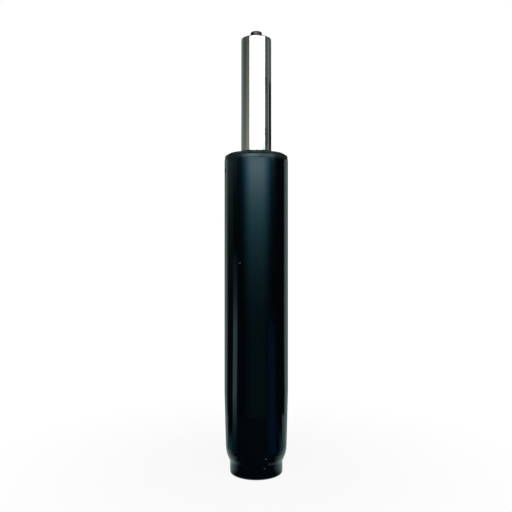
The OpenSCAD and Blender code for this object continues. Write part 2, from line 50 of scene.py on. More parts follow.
shoulder_r = 23.825
shoulder_z = 16.2
shoulder_bend = 16.0
taper_bend = 64.0
neck_r = 20.725
neck_h = 9.0
neck_bend = 5.0
foot_round = 0.6
foot_lip_t = 1.6
foot_opening_r = 15.325
stake_z = 236.3
stake_angles = (196.0, 16.0)
stake_depth = 0.6
stake_ball_r = 2.4
stake_ball_turns = 64
stake_margin = 3.2
stake_rows = (stake_z + stake_margin, stake_z - stake_margin)
nib_end_r = 0.6
nib_root_r = 1.2
nib_l = 1.1
nib_turns = 32
round_turns = 256
bend_steps = 8
same_place = 0.001
weld = same_place * mm


def choose(piece, wanted):
    """In edit mode, selects the corners whose place in millimetres passes the test."""
    mesh = bmesh.from_edit_mesh(piece.data)
    for corner in mesh.verts:
        corner.select_set(wanted(corner.co / mm))
    mesh.select_flush_mode()
    bmesh.update_edit_mesh(piece.data)


def round_off(piece, before, corner, after):
    """Rounds one drawn corner to the radius that is its third number."""
    here = Vector(corner[:2])
    incoming = (here - Vector(before[:2])).normalized()
    outgoing = (Vector(after[:2]) - here).normalized()
    reach = corner[2] * math.tan(incoming.angle(outgoing) / 2)
    spot = Vector((corner[0], 0, corner[1]))
    choose(piece, lambda place: (place - spot).length < same_place)
    bpy.ops.mesh.bevel(
        offset=reach * mm, offset_type="ABSOLUTE", segments=bend_steps, affect="VERTICES"
    )


def turned(name, corners, turns=round_turns):
    """A turned piece: its half-section is drawn corner by corner, rounded, closed and spun."""
    bpy.ops.object.select_all(action="DESELECT")
    bpy.ops.mesh.primitive_plane_add(size=mm, enter_editmode=True)
    piece = bpy.context.object
    piece.name = name
    bpy.ops.mesh.select_mode(type="VERT")
    bpy.ops.mesh.merge(type="CENTER")
    bpy.ops.transform.translate(value=(corners[0][0] * mm, 0, corners[0][1] * mm))
    for here, there in zip(corners, corners[1:]):
        run = ((there[0] - here[0]) * mm, 0, (there[1] - here[1]) * mm)
        bpy.ops.mesh.extrude_region_move(TRANSFORM_OT_translate={"value": run})
    ends = [Vector((corner[0], 0, corner[1])) for corner in (corners[0], corners[-1])]
    if ends[0].x > 0 or ends[1].x > 0:
        choose(piece, lambda place: min((place - end).length for end in ends) < same_place)
        bpy.ops.mesh.edge_face_add()
    for before, corner, after in zip(corners, corners[1:], corners[2:]):
        if len(corner) == 3:
            round_off(piece, before, corner, after)
    bpy.ops.mesh.select_all(action="SELECT")
    bpy.ops.mesh.spin(steps=turns, angle=math.tau, center=(0, 0, 0), axis=(0, 0, 1))
    bpy.ops.mesh.select_all(action="SELECT")
    bpy.ops.mesh.remove_doubles(threshold=weld)
    bpy.ops.mesh.dissolve_degenerate(threshold=weld)
    bpy.ops.mesh.select_all(action="SELECT")
    bpy.ops.mesh.normals_make_consistent(inside=False)
    bpy.ops.object.mode_set(mode="OBJECT")
    return piece


def combine(piece, tool, operation):
    """Joins a tool shape on, or cuts it out, and removes the tool."""
    change = piece.modifiers.new("combine", "BOOLEAN")
    change.operation = operation
    change.solver = "EXACT"
    change.object = tool
    bpy.ops.object.select_all(action="DESELECT")
    bpy.context.view_layer.objects.active = piece
    bpy.ops.object.modifier_apply(modifier=change.name)
    bpy.data.objects.remove(tool)


def smooth(piece, crease=28.0):
    """Shades a piece smooth, apart from sharp edges, with the large faces kept straight."""
    bpy.ops.object.select_all(action="DESELECT")
    piece.select_set(True)
    bpy.context.view_layer.objects.active = piece
    bpy.ops.object.shade_smooth_by_angle(angle=math.radians(crease))
    even = piece.modifiers.new("even", "WEIGHTED_NORMAL")
    even.weight = 100
    even.keep_sharp = True
    bpy.ops.object.modifier_apply(modifier=even.name)


def settle(piece, material, body, node):
    """Gives a piece its finish and its body, and hides the CAD node that it stands for."""
    piece.data.materials.clear()
    piece.data.materials.append(material)
    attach(piece, body)
    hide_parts(node)


column = turned("column_shell", [
    (foot_opening_r, 0),
    (neck_r, 0, foot_round),
    (neck_r, neck_h, neck_bend),
    (shoulder_r, shoulder_z, shoulder_bend),
    (column_r, taper_top_z, taper_bend),
    (column_r, stake_rows[1]),
    (column_r, stake_rows[0]),
    (column_r, column_h, rim_round),
    (column_r - column_wall, column_h),
    (column_r - column_wall, stake_rows[0]),
    (column_r - column_wall, stake_rows[1]),
    (column_r - column_wall, taper_top_z),
    (shoulder_r - column_wall, shoulder_z, shoulder_bend),
    (neck_r - column_wall, neck_h, neck_bend),
    (neck_r - column_wall, foot_lip_t),
    (foot_opening_r, foot_lip_t),
])
for angle in stake_angles:
    turn = math.radians(angle)
    nib_reach = column_r - column_wall - stake_depth + nib_l / 2
    bpy.ops.mesh.primitive_cone_add(
        vertices=nib_turns, radius1=nib_end_r * mm, radius2=nib_root_r * mm, depth=nib_l * mm,
        location=(nib_reach * mm * math.cos(turn), nib_reach * mm * math.sin(turn), stake_z * mm),
        rotation=(0, math.pi / 2, turn),
    )
    combine(column, bpy.context.object, "UNION")
    ball_reach = column_r + stake_ball_r - stake_depth
    bpy.ops.mesh.primitive_uv_sphere_add(
        segments=stake_ball_turns, ring_count=stake_ball_turns // 2, radius=stake_ball_r * mm,
        location=(ball_reach * mm * math.cos(turn), ball_reach * mm * math.sin(turn), stake_z * mm),
    )
    combine(column, bpy.context.object, "DIFFERENCE")
smooth(column)


class Shade:
    """A socket in a material. Arithmetic with it adds Math nodes."""

    def __init__(self, tree, socket=None):
        self.tree = tree
        self.socket = socket

    def node(self, kind, settings, sockets, output=0):
        """Any node: its settings come first, then its sockets' values or links."""
        made = self.tree.nodes.new("ShaderNode" + kind)
        for setting, value in settings.items():
            setattr(made, setting, value)
        for name, value in sockets.items():
            if isinstance(value, Shade):
                self.tree.links.new(value.socket, made.inputs[name])
            else:
                made.inputs[name].default_value = value
        return Shade(self.tree, made.outputs[output] if made.outputs else None)

    def maths(self, operation, first, second):
        """A Math node with these two values or links."""
        return self.node("Math", {"operation": operation}, {0: first, 1: second})

    def __add__(self, other):
        return self.maths("ADD", self, other)

    def __radd__(self, other):
        return self.maths("ADD", other, self)

    def __sub__(self, other):
        return self.maths("SUBTRACT", self, other)

    def __rsub__(self, other):
        return self.maths("SUBTRACT", other, self)

    def __mul__(self, other):
        return self.maths("MULTIPLY", self, other)

    def __rmul__(self, other):
        return self.maths("MULTIPLY", other, self)

    def step(self, start, end):
        """Rises smoothly from 0 at start to 1 at end, also where end is the lower one."""
        sockets = {"Value": self, "From Min": start, "From Max": end}
        return self.node("MapRange", {"interpolation_type": "SMOOTHSTEP"}, sockets)

    def blend(self, first, second):
        """The first colour where this is 0, the second where it is 1."""
        return self.node("Mix", {"data_type": "RGBA"}, {0: self, 6: first, 7: second}, 2)

    def stretched(self, scale):
        """These coordinates, scaled along each axis."""
        return self.node("Mapping", {}, {"Vector": self, "Scale": scale})

    def grain(self, size, detail=2.0):
        """Cloudy noise whose lumps are about this many millimetres."""
        sockets = {"Vector": self, "Scale": 1 / (size * mm), "Detail": detail}
        return self.node("TexNoise", {}, sockets)

    def relief(self, depth):
        """A surface normal from this height, which is depth millimetres from 0 to 1."""
        return self.node("Bump", {}, {"Height": self, "Distance": depth * mm})

    def axis(self, name):
        """One coordinate, in millimetres."""
        return self.node("SeparateXYZ", {}, {"Vector": self}, name) * (1 / mm)

    def length(self):
        """How long this vector is."""
        return self.node("VectorMath", {"operation": "LENGTH"}, {0: self}, "Value")

    def spot(self, centre, reach, core=0.6):
        """1 on the core of an oval spot, falling to 0 at its reach, both in millimetres."""
        away = self.node("VectorMath", {"operation": "SUBTRACT"}, {0: self, 1: [c * mm for c in centre]})
        shares = {0: away, 1: [1 / (r * mm) for r in reach]}
        return self.node("VectorMath", {"operation": "MULTIPLY"}, shares).length().step(1.0, core)

    def spots(self, ovals):
        """Several such spots, added up."""
        return sum(self.spot(*oval) for oval in ovals)


def new_finish(name, constants):
    """A material with these sockets of its shader set, and the coordinates to draw it with."""
    material = bpy.data.materials.new(name)
    material.use_nodes = True
    shader = material.node_tree.nodes["Principled BSDF"]
    for socket, value in constants.items():
        shader.inputs[socket].default_value = value
    return material, Shade(material.node_tree).node("TexCoord", {}, {}, "Object")


def feed(material, sockets):
    """Links what varies over the surface to the material's shader."""
    shader = material.node_tree.nodes["Principled BSDF"]
    for name, shade in sockets.items():
        material.node_tree.links.new(shade.socket, shader.inputs[name])


lacquer_deep = (0.0005, 0.0010, 0.0018, 1)
lacquer_thin = (0.0011, 0.0020, 0.0030, 1)
primer_glint_grey = (0.10, 0.11, 0.11, 1)
# A painted highlight: lighter paint on both sides of the swage bend, with the heights and sides where it
# lies.
bend_highlight_grey = (0.045, 0.062, 0.064, 1)
bend_highlight_heights = (9.9, 11.0, 12.0, 13.4)
bend_highlight_left = (-11.0, -15.5)
bend_highlight_right = (8.5, 13.5)
# Paint chips down to grey primer, which also serve as painted glints on the neck.
chips_and_glints = (
    ((7.3, -22.6, 16.8), (0.9, 2.0, 0.5)),
    ((9.6, -19.3, 12.2), (0.8, 2.0, 0.5)),
    ((6.3, -19.6, 8.6), (0.6, 2.0, 0.45)),
    ((-12.4, -21.7, 164.8), (1.1, 2.0, 0.28)),
)

lacquer, place = new_finish("black_lacquer", {
    "IOR": 1.55,
    "Specular Tint": (0.64, 0.95, 1.0, 1),
})
cloud = place.grain(size=18.0, detail=4.0)
drawing_lines = place.stretched((1, 1, 0.015)).grain(size=1.6, detail=3.0)
peel = place.grain(size=0.8)
# Chipped paint showing primer, which also stands in for glints: partly real wear, partly painted
# highlight.
chipped_and_glinting = place.spots(chips_and_glints)
# Lighter paint on both sides of the swage bend, a painted highlight that stands in for light caught by
# the bend.
low, low_full, high_full, high = bend_highlight_heights
rubbed_and_highlight = place.axis("X").step(*bend_highlight_left) + place.axis("X").step(*bend_highlight_right)
rubbed_and_highlight = rubbed_and_highlight * place.axis("Z").step(low, low_full) * place.axis("Z").step(high, high_full)
rubbed_and_highlight = rubbed_and_highlight * (0.35 + 0.65 * place.grain(size=1.4, detail=3.0))
paint = rubbed_and_highlight.blend(cloud.blend(lacquer_deep, lacquer_thin), bend_highlight_grey)
feed(lacquer, {
    "Base Color": chipped_and_glinting.blend(paint, primer_glint_grey),
    "Roughness": 0.06 + 0.04 * cloud + 0.03 * drawing_lines + 0.25 * chipped_and_glinting,
    "Normal": (peel + 0.6 * drawing_lines - 4.0 * chipped_and_glinting).relief(depth=0.0016),
})
settle(column, lacquer, "column", "column_tube")


# Bottom cup. A pressed steel cup, zinc plated, that sits in the neck on the rolled lip,
# open side down. Its flat floor carries the swivel bearing, and the piston rod's tail
# comes through its hole.
cup_r = 18.685
cup_wall = 1.8
cup_floor_z = 6.0
cup_top_z = 8.6
cup_hole_r = 4.06
cup_corner = 1.0
cup_edge = 0.4

cup = turned("pressed_cup", [
    (cup_hole_r, cup_floor_z),
    (cup_r - cup_wall, cup_floor_z, cup_corner),
    (cup_r - cup_wall, foot_lip_t, cup_edge),
    (cup_r, foot_lip_t, cup_edge),
    (cup_r, cup_top_z, cup_corner),
    (cup_hole_r, cup_top_z),
])
smooth(cup)

zinc_bright = (0.72, 0.74, 0.76, 1)
zinc_dull = (0.55, 0.57, 0.59, 1)

zinc, place = new_finish("zinc_plate", {"Metallic": 1.0})
cloud = place.grain(size=3.5, detail=5.0)
speckle = place.grain(size=0.5, detail=3.0)
feed(zinc, {
    "Base Color": cloud.step(0.3, 0.7).blend(zinc_bright, zinc_dull),
    "Roughness": 0.26 + 0.22 * cloud + 0.08 * speckle,
    "Normal": (speckle + cloud).relief(depth=0.0025),
})
settle(cup, zinc, "column", "bottom_cup")


# Swivel bearing. Two hardened races with a ground ball track, and ten polished steel balls
# in a natural white plastic cage that rolls round between them.
def dress(material, *nodes):
    """Gives CAD nodes that stay as they are a finish."""
    for name in nodes:
        for place_for_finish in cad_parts[name].material_slots:
            place_for_finish.material = material


race_pale = (0.68, 0.69, 0.70, 1)
race_grey = (0.56, 0.57, 0.59, 1)

bearing_steel, place = new_finish("bearing_steel", {"Metallic": 1.0})
cloud = place.grain(size=2.0, detail=4.0)
honing = place.stretched((0.05, 0.05, 1)).grain(size=0.15, detail=2.0)
feed(bearing_steel, {
    "Base Color": cloud.blend(race_pale, race_grey),
    "Roughness": 0.07 + 0.10 * honing + 0.05 * cloud,
    "Normal": honing.relief(depth=0.0002),
})
dress(bearing_steel, "lower_race", "upper_race", "bearing_balls")

cage_white = (0.84, 0.82, 0.76, 1)
cage_cream = (0.78, 0.75, 0.66, 1)

cage_plastic, place = new_finish("natural_plastic", {"IOR": 1.49})
cloud = place.grain(size=2.5, detail=4.0)
moulding = place.grain(size=0.25)
feed(cage_plastic, {
    "Base Color": cloud.blend(cage_white, cage_cream),
    "Roughness": 0.36 + 0.14 * cloud,
    "Normal": moulding.relief(depth=0.0015),
})
dress(cage_plastic, "ball_cage")


# Piston rod. A ground steel rod that stands on the bearing and reaches up into the spindle.
# Its turned-down tail has a clip groove and a chamfered tip, and its upper end is riveted
# over the piston.
rod_r = 5.0
tail_r = 4.0
tail_tip_z = 1.2
tail_chamfer = 0.6
groove_r = 3.1
groove_z = 3.46
groove_top_z = 4.7
rod_shoulder_z = 15.5
piston_z = 183.5
piston_tail_r = 3.5
rivet_z = 200.5
rivet_r = 4.4
rivet_top_z = 202.3
rivet_round = 1.44
small_turns = 128

rod = turned("rod_with_tail", [
    (0, tail_tip_z),
    (tail_r - tail_chamfer, tail_tip_z),
    (tail_r, tail_tip_z + tail_chamfer),
    (tail_r, groove_z),
    (groove_r, groove_z),
    (groove_r, groove_top_z),
    (tail_r, groove_top_z),
    (tail_r, rod_shoulder_z),
    (rod_r, rod_shoulder_z),
    (rod_r, piston_z),
    (piston_tail_r, piston_z),
    (piston_tail_r, rivet_z),
    (rivet_r, rivet_z),
    (rivet_r, rivet_top_z, rivet_round),
    (0, rivet_top_z),
], small_turns)
smooth(rod)

steel_pale = (0.62, 0.63, 0.65, 1)
steel_grey = (0.48, 0.49, 0.51, 1)

ground_steel, place = new_finish("ground_steel", {"Metallic": 1.0})
grinding = place.stretched((0.04, 0.04, 1)).grain(size=0.12, detail=3.0)
cloud = place.grain(size=5.0, detail=4.0)
feed(ground_steel, {
    "Base Color": cloud.blend(steel_pale, steel_grey),
    "Roughness": 0.16 + 0.16 * grinding + 0.06 * cloud,
    "Normal": grinding.relief(depth=0.0006),
})
settle(rod, ground_steel, "swivel", "piston_rod")


# Bump stop. A ring of black rubber with a waist, pushed over the rod, that the lowered
# spindle lands on.
rubber_black = (0.020, 0.020, 0.020, 1)
rubber_bloom = (0.040, 0.040, 0.042, 1)

rubber, place = new_finish("black_rubber", {"IOR": 1.47, "Specular IOR Level": 0.35})
bloom = place.grain(size=4.0, detail=6.0)
moulding = place.grain(size=0.3)
feed(rubber, {
    "Base Color": bloom.step(0.35, 0.75).blend(rubber_black, rubber_bloom),
    "Roughness": 0.58 + 0.18 * bloom,
    "Normal": moulding.relief(depth=0.004),
})
dress(rubber, "bump_stop")


# Tail washer and clip. A stamped, zinc plated washer under the cup's floor, and the dark
# spring steel clip that snaps into the tail's groove from the side and holds the rod down.
washer_r = 8.54
washer_bore_r = 4.04
washer_z = 4.7
washer_top_z = 5.9
washer_edge = 0.25
clip_z = 3.5
clip_top_z = 4.7
clip_lug_r = 3.14
clip_ring_in_r = 5.34
clip_ring_out_r = 7.24
clip_lug_w = 3.0
clip_mouth_w = 6.0
clip_edge = 0.14
clip_edge_steps = 3
clip_edge_angle = 50.0
clip_hole_turns = 96

washer = turned("tail_washer", [
    (washer_bore_r, washer_z),
    (washer_r, washer_z, washer_edge),
    (washer_r, washer_top_z, washer_edge),
    (washer_bore_r, washer_top_z),
], small_turns)
smooth(washer)
settle(washer, zinc, "swivel", "clip_washer")


def block(low, high):
    """A box tool between two corners, in millimetres."""
    middle = [(a + b) / 2 * mm for a, b in zip(low, high)]
    bpy.ops.mesh.primitive_cube_add(
        size=1, location=middle, scale=[(b - a) * mm for a, b in zip(low, high)]
    )
    return bpy.context.object


clip = turned("spring_clip", [
    (clip_ring_in_r, clip_z),
    (clip_ring_out_r, clip_z),
    (clip_ring_out_r, clip_top_z),
    (clip_ring_in_r, clip_top_z),
], small_turns)
lug_end = (clip_ring_in_r + clip_ring_out_r) / 2
combine(clip, block((-lug_end, -clip_lug_w / 2, clip_z), (lug_end, clip_lug_w / 2, clip_top_z)), "UNION")
combine(clip, block((-clip_lug_w / 2, 0, clip_z), (clip_lug_w / 2, lug_end, clip_top_z)), "UNION")
bpy.ops.mesh.primitive_cylinder_add(
    vertices=clip_hole_turns, radius=clip_lug_r * mm, depth=4 * clip_top_z * mm,
    location=(0, 0, clip_z * mm),
)
combine(clip, bpy.context.object, "DIFFERENCE")
mouth_low = (-clip_mouth_w / 2, -2 * clip_ring_out_r, 0)
combine(clip, block(mouth_low, (clip_mouth_w / 2, -clip_lug_r, 2 * clip_top_z)), "DIFFERENCE")
rounding = clip.modifiers.new("stamped_edge", "BEVEL")
rounding.width = clip_edge * mm
rounding.segments = clip_edge_steps
rounding.limit_method = "ANGLE"
rounding.angle_limit = math.radians(clip_edge_angle)
bpy.context.view_layer.objects.active = clip
bpy.ops.object.modifier_apply(modifier=rounding.name)
smooth(clip)

clip_dark = (0.10, 0.10, 0.105, 1)
clip_straw = (0.24, 0.225, 0.20, 1)

spring_steel, place = new_finish("spring_steel", {"Metallic": 1.0})
temper = place.grain(size=1.8, detail=5.0)
rolling = place.stretched((1, 0.06, 1)).grain(size=0.2, detail=2.0)
feed(spring_steel, {
    "Base Color": temper.step(0.3, 0.75).blend(clip_dark, clip_straw),
    "Roughness": 0.34 + 0.18 * temper + 0.08 * rolling,
    "Normal": rolling.relief(depth=0.0012),
})
settle(clip, spring_steel, "swivel", "retaining_clip")


# Piston. A turned brass piston with a rubber seal and a white plastic guide band in its
# grooves, held under the rod's rivet by a steel washer.
brass_bright = (0.74, 0.57, 0.25, 1)
brass_dull = (0.60, 0.44, 0.18, 1)

brass, place = new_finish("turned_brass", {"Metallic": 1.0})
tool_marks = place.stretched((0.04, 0.04, 1)).grain(size=0.2, detail=2.0)
tarnish = place.grain(size=4.0, detail=5.0)
feed(brass, {
    "Base Color": tarnish.step(0.35, 0.8).blend(brass_bright, brass_dull),
    "Roughness": 0.18 + 0.12 * tool_marks + 0.14 * tarnish,
    "Normal": tool_marks.relief(depth=0.0012),
})
dress(brass, "piston")
dress(rubber, "piston_seal")
dress(cage_plastic, "piston_band")
dress(ground_steel, "piston_washer")


# Spindle tube. The chromed pressure tube that slides in the column. Its top end is ground
# a little slimmer to seat under a chair, and both ends are rolled in to a lip over what
# the tube holds.
spindle_r = 11.85
spindle_z = 24.9
spindle_wall = 1.6
spindle_round = 1.0
blend_z = 266.8
seat_z = 278.8
seat_r = 11.8
spindle_top_z = 340.8
top_opening_r = 7.65
foot_hole_r = 6.2
lip_edge = 0.35

spindle = turned("chromed_spindle", [
    (foot_hole_r, spindle_z),
    (spindle_r, spindle_z, spindle_round),
    (spindle_r, blend_z),
    (seat_r, seat_z),
    (seat_r, spindle_top_z, spindle_round),
    (top_opening_r, spindle_top_z, lip_edge),
    (top_opening_r, spindle_top_z - spindle_wall),
    (spindle_r - spindle_wall, spindle_top_z - spindle_wall),
    (spindle_r - spindle_wall, spindle_z + spindle_wall),
    (foot_hole_r, spindle_z + spindle_wall),
])
smooth(spindle)

chrome_bright = (0.80, 0.82, 0.81, 1)
chrome_grey = (0.70, 0.73, 0.71, 1)
grease_film = (0.34, 0.39, 0.375, 1)
smears = (
    ((6.7, -9.8, 261.0), (4.4, 7.0, 14.5)),
    ((4.3, -10.9, 280.7), (1.3, 6.0, 1.8)),
    ((7.0, -9.6, 302.0), (2.8, 6.0, 10.0)),
    ((5.8, -10.3, 311.2), (1.4, 6.0, 0.7)),
)

chrome, place = new_finish("chrome_plate", {"Metallic": 1.0})
polish = place.stretched((1, 1, 0.006)).grain(size=0.9, detail=1.0)
broad_polish = place.stretched((1, 1, 0.01)).grain(size=2.2, detail=2.0)
streaks = place.stretched((1, 1, 0.4)).grain(size=1.2, detail=3.0)
film = (0.6 * place.spots(smears) + 0.8 * streaks).step(0.78, 1.12)
feed(chrome, {
    "Base Color": film.blend(broad_polish.blend(chrome_bright, chrome_grey), grease_film),
    "Roughness": 0.05 + 0.05 * polish + 0.03 * film,
    "Normal": (polish + 0.5 * broad_polish).relief(depth=0.00004),
})
settle(spindle, chrome, "spindle", "spindle_tube")


# Spindle foot. The rod runs in at the spindle's lower end through a steel washer, a rubber
# lip seal, a plastic backing ring and a guide that also centres the thin inner tube.
dress(ground_steel, "end_washer", "inner_tube")
dress(rubber, "rod_seal")
dress(cage_plastic, "seal_backing", "rod_guide")


# Gas valve. A turned brass housing in the spindle's upper end, with rubber rings outside
# and round the pin, a brass spacer between the rings and a steel disc that keeps them in.
dress(brass, "valve_housing", "stem_spacer")
dress(rubber, "housing_seals", "stem_seals")
dress(ground_steel, "seal_retainer", "valve_pin")


# Top plug. A black moulded plug under the spindle's rolled lip. Its nose fills the opening,
# its bore guides the release button, and its pocket stops the button's flange.
plug_z = 327.2
plug_r = 10.21
plug_nose_r = 7.61
plug_nose_z = 340.5
plug_bore_r = 4.56
plug_pocket_r = 6.0
plug_pocket_z = 333.6
plug_edge = 0.3

plug = turned("end_plug", [
    (plug_pocket_r, plug_z),
    (plug_r, plug_z),
    (plug_r, spindle_top_z - spindle_wall),
    (plug_nose_r, spindle_top_z - spindle_wall),
    (plug_nose_r, plug_nose_z, plug_edge),
    (plug_bore_r, plug_nose_z, plug_edge),
    (plug_bore_r, plug_pocket_z),
    (plug_pocket_r, plug_pocket_z),
], small_turns)
smooth(plug)

plastic_black = (0.0045, 0.0105, 0.0125, 1)
plastic_worn = (0.0090, 0.0185, 0.0210, 1)

plastic, place = new_finish("black_plastic", {
    "IOR": 1.45,
    "Specular Tint": (0.64, 0.94, 1.0, 1),
})
cloud = place.grain(size=6.0, detail=5.0)
moulding = place.grain(size=0.35)
feed(plastic, {
    "Base Color": cloud.step(0.35, 0.75).blend(plastic_black, plastic_worn),
    "Roughness": 0.20 + 0.10 * cloud + 0.06 * moulding,
    "Normal": moulding.relief(depth=0.0012),
})
settle(plug, plastic, "spindle", "top_plug")


# Release button. A turned, blackened steel button with a flange inside the plug. The lever
# under a seat presses on its flat top, which is rubbed a little bright.
button_z = 331.5
button_flange_r = 5.7
button_flange_top_z = 333.5
button_r = 4.5
button_top_z = 346.2
button_round = 1.0

button = turned("press_button", [
    (0, button_z),
    (button_flange_r, button_z),
    (button_flange_r, button_flange_top_z),
    (button_r, button_flange_top_z),
    (button_r, button_top_z, button_round),
    (0, button_top_z),
], small_turns)
smooth(button)

button_black = (0.010, 0.011, 0.012, 1)
button_rubbed = (0.20, 0.205, 0.21, 1)
rubbed_reach = (2.6, 2.6, 1.2)
turning_pitch = 0.2

blackened, place = new_finish("blackened_steel", {"IOR": 1.6})
sockets = {"W": place.stretched((1, 1, 0)).length(), "Scale": 1 / (turning_pitch * mm)}
rings = place.node("TexNoise", {"noise_dimensions": "1D"}, sockets)
scratches = place.grain(size=0.6, detail=5.0)
rubbed_and_highlight = place.spot((0, 0, button_top_z), rubbed_reach) * scratches.step(0.35, 0.7)
feed(blackened, {
    "Base Color": rubbed_and_highlight.blend(button_black, button_rubbed),
    "Metallic": 0.15 + 0.75 * rubbed_and_highlight,
    "Roughness": 0.20 + 0.10 * scratches,
    "Normal": (rings + 0.4 * scratches).relief(depth=0.0015),
})
settle(button, blackened, "release", "release_button")


# Guide bush. A long black moulded sleeve with eight ribs and two collars, pressed into the
# column. Its domed flange lies on the column's rim, with a lip that wipes the spindle, and
# the column's punch marks lock into its groove.
bush_bore_r = 11.91
bush_foot_z = 157.0
lip_top_z = 252.0
lip_flat_r = 12.56
crown_foot_r = 13.21
crown_foot_z = 251.1
slope_top_r = 21.2
slope_top_z = 250.1
slope_round = 3.6
flange_r = 24.8
flange_top_z = 248.0
flange_round = 1.5
flange_draft = 0.16
bush_fit_r = 22.96
lock_groove_r = 22.06
lock_groove_h = 4.0
collar_z = 230.0
foot_collar_top_z = 165.0
sleeve_r = 14.91
rib_t = 2.4
rib_count = 8
rib_in_r = 13.41
rib_out_r = 22.92
rib_z = 161.0
rib_top_z = 231.875
rib_edge = 0.3
rib_edge_steps = 2

bush = turned("ribbed_bush", [
    (bush_bore_r, bush_foot_z),
    (bush_bore_r, lip_top_z),
    (lip_flat_r, lip_top_z),
    (crown_foot_r, crown_foot_z),
    (slope_top_r, slope_top_z, slope_round),
    (flange_r - flange_draft, flange_top_z, flange_round),
    (flange_r, column_h),
    (bush_fit_r, column_h),
    (bush_fit_r, stake_z + lock_groove_h / 2),
    (lock_groove_r, stake_z + lock_groove_h / 2),
    (lock_groove_r, stake_z - lock_groove_h / 2),
    (bush_fit_r, stake_z - lock_groove_h / 2),
    (bush_fit_r, collar_z),
    (sleeve_r, collar_z),
    (sleeve_r, foot_collar_top_z),
    (bush_fit_r, foot_collar_top_z),
    (bush_fit_r, bush_foot_z),
])
ribs = block((rib_in_r, -rib_t / 2, rib_z), (rib_out_r, rib_t / 2, rib_top_z))
bpy.ops.object.transform_apply(location=True, rotation=False, scale=True)
bpy.ops.object.mode_set(mode="EDIT")
bpy.ops.mesh.select_all(action="SELECT")
bpy.ops.mesh.bevel(offset=rib_edge * mm, segments=rib_edge_steps, affect="EDGES")
bpy.ops.mesh.select_all(action="SELECT")
half_pitch = math.pi / rib_count
bpy.ops.transform.rotate(value=half_pitch, orient_axis="Z", center_override=(0, 0, 0))
bpy.ops.mesh.spin(
    steps=rib_count, angle=math.tau, dupli=True, use_auto_merge=False, center=(0, 0, 0), axis=(0, 0, 1)
)
bpy.ops.mesh.select_all(action="SELECT")
bpy.ops.mesh.remove_doubles(threshold=weld)
bpy.ops.object.mode_set(mode="OBJECT")
combine(bush, ribs, "UNION")
smooth(bush)
settle(bush, plastic, "column", "guide_bush")


# Floor. A plain white sweep that the object stands on. It keeps the object's soft shadow,
# and from below it isn't there, so that the foot can be looked at.
floor_size = 12.0
floor_white = (0.88, 0.88, 0.88, 1)
floor_glow_near = 0.90
floor_glow_reach = (40.0, 260.0)

bpy.ops.object.select_all(action="DESELECT")
bpy.ops.mesh.primitive_plane_add(size=floor_size)
floor = bpy.context.object
floor.name = "studio_floor"


def seen_straight(start):
    """1 for rays from the camera, a mirror or glass, and 0 for the rest."""
    seen = start.node("LightPath", {}, {}, "Is Camera Ray")
    for ray in ("Is Glossy Ray", "Is Transmission Ray"):
        seen = seen.maths("MAXIMUM", seen, start.node("LightPath", {}, {}, ray))
    return seen


def blank_board(name):
    """A material with nothing in it yet, and a start for its nodes."""
    material = bpy.data.materials.new(name)
    material.use_nodes = True
    material.node_tree.nodes.clear()
    return material, Shade(material.node_tree)


def one_sided(start, surface):
    """The surface on a face's front, and nothing at all on its back."""
    nothing = start.node("BsdfTransparent", {}, {})
    underside = start.node("NewGeometry", {}, {}, "Backfacing")
    return start.node("MixShader", {}, {0: underside, 1: surface, 2: nothing})


floor_paper, paper = blank_board("floor_paper")
place = paper.node("TexCoord", {}, {}, "Object")
away = place.length() * (1 / mm)
glow_share = floor_glow_near + (1 - floor_glow_near) * away.step(*floor_glow_reach)
matt = paper.node("BsdfDiffuse", {}, {"Color": floor_white})
glow = paper.node("Emission", {}, {"Color": (1, 1, 1, 1), "Strength": 1.0})
sweep = paper.node("MixShader", {}, {0: seen_straight(paper) * glow_share, 1: matt, 2: glow})
paper.node("OutputMaterial", {}, {"Surface": one_sided(paper, sweep)})
floor.data.materials.append(floor_paper)


# Light. A white room, and three soft boxes side by side in front and above. Their radiance
# is set, and their power follows from their size.
world_fill = 0.28
box_radiance = 1.8
box_distance = 1.0
box_top = 1.30
boxes = (
    (-51.0, -30.0, 0.396),
    (-30.0, 38.0, 0.394),
    (38.0, 69.0, 0.396),
)

world = bpy.data.worlds.new("white_room")
bpy.context.scene.world = world
world.use_nodes = True
world.node_tree.nodes.clear()
room = Shade(world.node_tree)
fill = room.node("Background", {}, {"Color": (1, 1, 1, 1), "Strength": world_fill})
white = room.node("Background", {}, {"Color": (1, 1, 1, 1), "Strength": 1.0})
sky = room.node("MixShader", {}, {0: seen_straight(room), 1: fill, 2: white})
room.node("OutputWorld", {}, {"Surface": sky})

for number, (start, end, low) in enumerate(boxes):
    middle = math.radians((start + end) / 2)
    width = 2 * box_distance * math.tan(math.radians((end - start) / 2))
    height = box_top - low
    bpy.ops.object.light_add(
        type="AREA",
        location=(
            box_distance * math.sin(middle), -box_distance * math.cos(middle), (box_top + low) / 2
        ),
        rotation=(math.pi / 2, 0, middle),
    )
    lamp = bpy.context.object
    lamp.name = "soft_box_%d" % number
    lamp.data.shape = "RECTANGLE"
    lamp.data.size = width
    lamp.data.size_y = height
    lamp.data.energy = box_radiance * math.pi * width * height
    lamp.visible_camera = False


